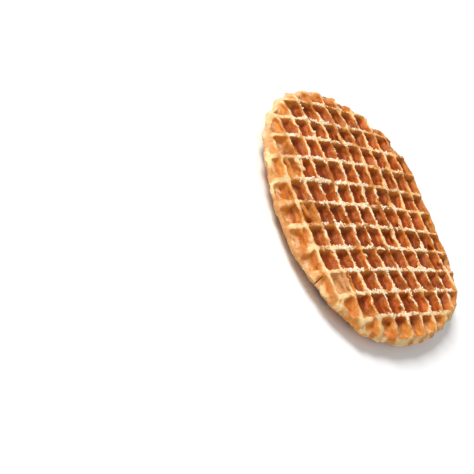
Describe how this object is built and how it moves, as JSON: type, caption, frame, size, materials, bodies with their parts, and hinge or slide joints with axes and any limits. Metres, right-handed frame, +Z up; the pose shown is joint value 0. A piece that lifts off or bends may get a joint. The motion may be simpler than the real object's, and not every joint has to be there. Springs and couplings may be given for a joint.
{
  "type": "stroopwafel",
  "caption": "Round thin syrup waffle with a square grid of ridges and pits on both faces and a low uneven rim.",
  "frame": {"origin": "centre of the waffle's box at its underside, on the surface that it lies on", "axes": "+Z up out of the face that shows, +X and +Y along the two families of ridges"},
  "size_m": [0.103, 0.0954, 0.0086],
  "materials": {
    "crust": "matt baked crust"
  },
  "bodies": {
    "root": {"waffle": "crust"}
  },
  "joints": []
}
